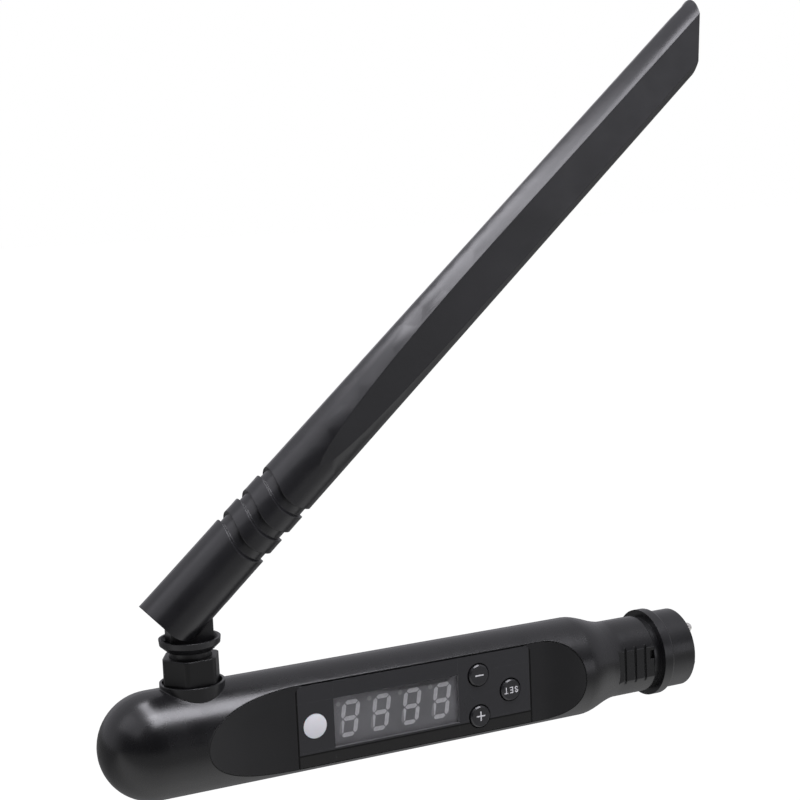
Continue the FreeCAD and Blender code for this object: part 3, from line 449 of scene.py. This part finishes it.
def print_legend(name, outlines, node, look, ink, turned):
    """Thin raised print on the middle of a key cap, seen from the front."""
    low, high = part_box(node)
    centre = (low + high) / 2
    sign = -1.0 if turned else 1.0
    build = bmesh.new()
    for outline in outlines:
        ring = []
        for point in outline:
            ring.append(build.verts.new((centre.x + sign * point.x,
                                         low.y - look.ink_depth,
                                         centre.z + sign * point.y)))
        face = build.faces.new(ring)
        pulled = bmesh.ops.extrude_face_region(build, geom=[face])
        new = [v for v in pulled["geom"] if isinstance(v, bmesh.types.BMVert)]
        bmesh.ops.translate(build, verts=new, vec=(0.0, look.ink_depth * 1.5, 0.0))
    bmesh.ops.recalc_face_normals(build, faces=build.faces)
    mesh = bpy.data.meshes.new(name)
    build.to_mesh(mesh)
    build.free()
    mesh.materials.append(ink)
    legend = bpy.data.objects.new(name, mesh)
    bpy.context.scene.collection.objects.link(legend)
    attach(legend, node)
    return legend


def bar(x0, y0, x1, y1, width):
    return ribbon([Vector((x0, y0)), Vector((x1, y1))], width)


LETTER_S = ((0.95, 0.76), (0.8, 0.93), (0.5, 1.0), (0.2, 0.93), (0.06, 0.76), (0.2, 0.58),
            (0.5, 0.5), (0.8, 0.42), (0.94, 0.24), (0.8, 0.07), (0.5, 0.0), (0.2, 0.07),
            (0.05, 0.24))


def word_outlines(look):
    """The word SET, centred, from strokes that don't overlap within a letter."""
    stroke = look.stroke * 0.75
    step = look.word_length / 3
    wide = step * 0.72 - stroke
    tall = look.word_height - stroke
    base = -tall / 2
    left = [-look.word_length / 2 + step * k + (step - wide) / 2 for k in range(3)]
    outlines = []
    curve = [Vector((left[0] + x * wide, base + y * tall)) for x, y in LETTER_S]
    outlines.append(ribbon(curve, stroke))
    outlines.append(bar(left[1] + wide, base + tall, left[1] - stroke / 2, base + tall,
                        stroke))
    outlines.append(bar(left[1] - stroke / 2, base, left[1] + wide, base, stroke))
    outlines.append(bar(left[1], base + stroke / 2, left[1], base + tall - stroke / 2, stroke))
    outlines.append(bar(left[1] + stroke / 2, 0.0, left[1] + wide * 0.9, 0.0, stroke))
    middle = left[2] + wide / 2
    outlines.append(bar(left[2] - stroke / 2, base + tall, left[2] + wide + stroke / 2,
                        base + tall, stroke))
    outlines.append(bar(middle, base - stroke / 2, middle, base + tall - stroke / 2, stroke))
    return outlines


class TRANSMITTER_OT_keys(bpy.types.Operator):
    """Give the key caps their gloss and print their legends"""
    bl_idname = "transmitter.keys"
    bl_label = "Keys and legends"

    def execute(self, context):
        look = context.scene.transmitter_keys
        cap = Finish("gloss_black_keys")
        cap.vary_colour(cap.noise(3 * MM), lighter(look.cap, 0.9), lighter(look.cap, 1.1))
        cap.vary_roughness(cap.noise(1 * MM), 0.2, 0.28)
        cap.relief(cap.noise(2 * MM), 0.015 * MM, 0.2, 0.1 * MM)
        put_on(cap.material, "key_minus", "key_plus", "key_set")

        ink = Finish("legend_ink")
        ink.vary_colour(ink.noise(0.5 * MM), lighter(look.ink, 0.92), look.ink)
        ink.vary_roughness(ink.noise(0.3 * MM), 0.4, 0.5)
        ink.relief(ink.noise(0.1 * MM), 0.004 * MM, 0.2)

        half = look.sign_length / 2
        level = bar(-half, 0.0, half, 0.0, look.stroke)
        edge = look.stroke / 2
        above = bar(0.0, edge, 0.0, half, look.stroke)
        below = bar(0.0, -half, 0.0, -edge, look.stroke)
        print_legend("minus_legend", [level], "key_minus", look, ink.material, False)
        print_legend("plus_legend", [level, above, below], "key_plus", look, ink.material,
                     False)
        print_legend("set_legend", word_outlines(look), "key_set", look, ink.material, True)
        return {"FINISHED"}


# Inside

class TRANSMITTER_OT_inside(bpy.types.Operator):
    """Give the board, cell, wires and other inner pieces their finish"""
    bl_idname = "transmitter.inside"
    bl_label = "Inner pieces"

    def execute(self, context):
        board = Finish("green_board")
        board.vary_colour(board.noise(1.2 * MM, 1.0, (1.0, 1.0, 2.5)), (0.01, 0.07, 0.03),
                          (0.02, 0.14, 0.06), (0.48, 0.52))
        board.vary_roughness(board.noise(2 * MM), 0.3, 0.4)
        board.relief(board.noise(0.8 * MM), 0.02 * MM, 0.3)
        put_on(board.material, "main_board")
        steel = metal("plain_steel", (0.6, 0.6, 0.61), 0.28)
        put_on(steel, "board_screws", "radio_module", "charge_socket")
        put_on(plain("moulded_chip", (0.02, 0.02, 0.02), 0.5), "control_chip", "key_switches")
        put_on(metal("foil_cell", (0.7, 0.7, 0.72), 0.35, (1.0, 1.0, 1.0)), "battery_cell")
        put_on(plain("grey_block", (0.28, 0.28, 0.28), 0.5), "wire_block")
        put_on(plain("red_wire", (0.32, 0.02, 0.02), 0.45), "plug_wires")
        put_on(plain("black_lead", (0.02, 0.02, 0.02), 0.45), "rf_pigtail")
        return {"FINISHED"}


# Studio

def seen_directly(tree, glossy=True):
    """Light Path value that is 1 for camera, transmission and, if asked, glossy rays."""
    path = tree.nodes.new("ShaderNodeLightPath")
    value = path.outputs["Is Camera Ray"]
    others = ["Is Transmission Ray"] + (["Is Glossy Ray"] if glossy else [])
    for name in others:
        most = tree.nodes.new("ShaderNodeMath")
        most.operation = "MAXIMUM"
        tree.links.new(value, most.inputs[0])
        tree.links.new(path.outputs[name], most.inputs[1])
        value = most.outputs["Value"]
    return value, path


def camera_back(look):
    """Unit vector from the aim to the camera."""
    level = math.cos(look.elevation)
    return Vector((-math.sin(look.azimuth) * level, -math.cos(look.azimuth) * level,
                   math.sin(look.elevation)))


def cool(level):
    """Slightly blue light of a studio flash, at the given level."""
    return (level * 0.985, level * 0.975, level * 1.045, 1.0)


def grey_ramp(tree, stops):
    """Ramp through the given (place, light level) stops."""
    ramp = tree.nodes.new("ShaderNodeValToRGB")
    while len(ramp.color_ramp.elements) < len(stops):
        ramp.color_ramp.elements.new(0.5)
    for stop, (at, level) in zip(ramp.color_ramp.elements, stops):
        stop.position = at
        stop.color = cool(level)
    return ramp


def make_world(look):
    """White room. In gloss it is dimmer on the side where the photographer stands."""
    world = bpy.data.worlds.new("white_room")
    world.use_nodes = True
    tree = world.node_tree
    ground = tree.nodes["Background"]
    place = tree.nodes.new("ShaderNodeTexCoord")
    toward = tree.nodes.new("ShaderNodeVectorMath")
    toward.operation = "DOT_PRODUCT"
    toward.inputs[1].default_value = camera_back(look)
    tree.links.new(place.outputs["Generated"], toward.inputs[0])
    ramp = grey_ramp(tree, ROOM_GLOSS)
    half = tree.nodes.new("ShaderNodeMath")
    half.operation = "MULTIPLY_ADD"
    half.inputs[1].default_value = 0.5
    half.inputs[2].default_value = 0.5
    tree.links.new(toward.outputs["Value"], half.inputs[0])
    tree.links.new(half.outputs["Value"], ramp.inputs["Fac"])
    direct, path = seen_directly(tree, glossy=False)
    fill = tree.nodes.new("ShaderNodeMix")
    fill.data_type = "RGBA"
    fill.inputs["A"].default_value = cool(look.fill)
    tree.links.new(path.outputs["Is Glossy Ray"], fill.inputs["Factor"])
    tree.links.new(ramp.outputs["Color"], fill.inputs["B"])
    white = tree.nodes.new("ShaderNodeMix")
    white.data_type = "RGBA"
    white.inputs["B"].default_value = (1.0, 1.0, 1.0, 1.0)
    tree.links.new(direct, white.inputs["Factor"])
    tree.links.new(fill.outputs["Result"], white.inputs["A"])
    tree.links.new(white.outputs["Result"], ground.inputs["Color"])
    ground.inputs["Strength"].default_value = 1.0
    return world


def make_floor(look):
    """Large pale floor that reads as white and keeps a soft shadow.

    In gloss it falls off to the front and back, as a table does that is lit from above.
    """
    height = cad_box[0].z - look.floor_drop
    build = bmesh.new()
    bmesh.ops.create_grid(build, x_segments=4, y_segments=4, size=FLOOR_SIZE)
    bmesh.ops.translate(build, verts=build.verts, vec=(0.0, 0.0, height))
    mesh = bpy.data.meshes.new("floor")
    build.to_mesh(mesh)
    build.free()
    floor = bpy.data.objects.new("floor", mesh)
    bpy.context.scene.collection.objects.link(floor)
    material = bpy.data.materials.new("pale_floor")
    material.use_nodes = True
    tree = material.node_tree
    surface = tree.nodes["Principled BSDF"]
    surface.inputs["Base Color"].default_value = (0.9, 0.9, 0.9, 1.0)
    surface.inputs["Roughness"].default_value = 0.9
    direct, path = seen_directly(tree, glossy=True)
    place = tree.nodes.new("ShaderNodeTexCoord")
    split = tree.nodes.new("ShaderNodeSeparateXYZ")
    tree.links.new(place.outputs["Object"], split.inputs["Vector"])
    depth = tree.nodes.new("ShaderNodeMapRange")
    depth.inputs["From Min"].default_value = -FLOOR_REACH
    depth.inputs["From Max"].default_value = FLOOR_REACH
    tree.links.new(split.outputs["Y"], depth.inputs["Value"])
    falloff = grey_ramp(tree, FLOOR_GLOSS)
    tree.links.new(depth.outputs["Result"], falloff.inputs["Fac"])
    level = tree.nodes.new("ShaderNodeMix")
    level.inputs["A"].default_value = FLOOR_WHITE
    tree.links.new(path.outputs["Is Glossy Ray"], level.inputs["Factor"])
    tree.links.new(falloff.outputs["Color"], level.inputs["B"])
    glow = tree.nodes.new("ShaderNodeEmission")
    tree.links.new(level.outputs["Result"], glow.inputs["Strength"])
    mix = tree.nodes.new("ShaderNodeMixShader")
    amount = tree.nodes.new("ShaderNodeMath")
    amount.operation = "MULTIPLY"
    amount.inputs[1].default_value = FLOOR_GLOW
    tree.links.new(direct, amount.inputs[0])
    tree.links.new(amount.outputs["Value"], mix.inputs["Fac"])
    tree.links.new(surface.outputs["BSDF"], mix.inputs[1])
    tree.links.new(glow.outputs["Emission"], mix.inputs[2])
    tree.links.new(mix.outputs["Shader"], tree.nodes["Material Output"].inputs["Surface"])
    mesh.materials.append(material)
    return floor


def softbox(name, place, aim, size, power):
    """Soft rectangular lamp. It shows in gloss, but not itself in the picture."""
    lamp = bpy.data.lights.new(name, "AREA")
    lamp.shape = "RECTANGLE"
    lamp.size, lamp.size_y = size
    lamp.energy = power
    lamp.color = cool(0.94)[:3]
    holder = bpy.data.objects.new(name, lamp)
    holder.location = place
    holder.rotation_mode = "QUATERNION"
    holder.rotation_quaternion = (Vector(aim) - Vector(place)).to_track_quat("-Z", "Y")
    holder.visible_camera = False
    bpy.context.scene.collection.objects.link(holder)
    return holder


def make_camera(look):
    back = camera_back(look)
    ahead = -back
    level_right = ahead.cross(Vector((0.0, 0.0, 1.0))).normalized()
    level_up = level_right.cross(ahead)
    turn_c, turn_s = math.cos(look.roll), math.sin(look.roll)
    right = level_right * turn_c + level_up * turn_s
    up = level_up * turn_c - level_right * turn_s
    lens = bpy.data.cameras.new("camera")
    lens.lens = look.lens
    lens.clip_start, lens.clip_end = 0.01, 100.0
    camera = bpy.data.objects.new("camera", lens)
    turn = Matrix((right, up, back)).transposed().to_4x4()
    camera.matrix_world = Matrix.Translation(Vector(look.aim) + back * look.distance) @ turn
    bpy.context.scene.collection.objects.link(camera)
    bpy.context.scene.camera = camera
    return camera


class TRANSMITTER_OT_studio(bpy.types.Operator):
    """Make the pale floor, the soft lamps and the camera"""
    bl_idname = "transmitter.studio"
    bl_label = "Studio and camera"

    def execute(self, context):
        look = context.scene.transmitter_studio
        scene = context.scene
        scene.view_settings.view_transform = "Standard"
        scene.world = make_world(look)
        make_floor(look)
        aim = Vector(look.aim)
        softbox("top_softbox", (-0.01, -0.21, 0.58), aim, (0.4, 0.27), look.top_power)
        softbox("antenna_light", (-0.14, 0.025, 0.3), (-0.14, 0.025, 0.0), (0.09, 0.25),
                look.strip_power)
        softbox("left_softbox", (-0.75, -0.1, 0.75), aim, (1.0, 0.5), look.left_power)
        softbox("front_reflector", (0.46, -0.9, 0.15), aim, (0.32, 0.4), look.right_power)
        make_camera(look)
        return {"FINISHED"}


class TRANSMITTER_PT_sidebar(bpy.types.Panel):
    """Lists the transmitter's operators and sizes"""
    bl_idname = "TRANSMITTER_PT_sidebar"
    bl_label = "Lighting transmitter"
    bl_space_type = "VIEW_3D"
    bl_region_type = "UI"
    bl_category = "Transmitter"

    def draw(self, context):
        for operator in OPERATORS:
            self.layout.operator(operator.bl_idname)
        for attribute, look in LOOKS:
            box = self.layout.box()
            box.label(text=look.__doc__)
            for key in look.__annotations__:
                box.prop(getattr(context.scene, attribute), key)


OPERATORS = (
    TRANSMITTER_OT_casing,
    TRANSMITTER_OT_antenna,
    TRANSMITTER_OT_front,
    TRANSMITTER_OT_keys,
    TRANSMITTER_OT_inside,
    TRANSMITTER_OT_studio,
)


def register():
    for attribute, look in LOOKS:
        bpy.utils.register_class(look)
        setattr(bpy.types.Scene, attribute, PointerProperty(type=look))
    for operator in OPERATORS:
        bpy.utils.register_class(operator)
    bpy.utils.register_class(TRANSMITTER_PT_sidebar)


def unregister():
    bpy.utils.unregister_class(TRANSMITTER_PT_sidebar)
    for operator in reversed(OPERATORS):
        bpy.utils.unregister_class(operator)
    for attribute, look in reversed(LOOKS):
        delattr(bpy.types.Scene, attribute)
        bpy.utils.unregister_class(look)


def main():
    register()
    bpy.ops.transmitter.casing()
    bpy.ops.transmitter.antenna()
    bpy.ops.transmitter.front()
    bpy.ops.transmitter.keys()
    bpy.ops.transmitter.inside()
    bpy.ops.transmitter.studio()


if __name__ == "__main__":
    main()
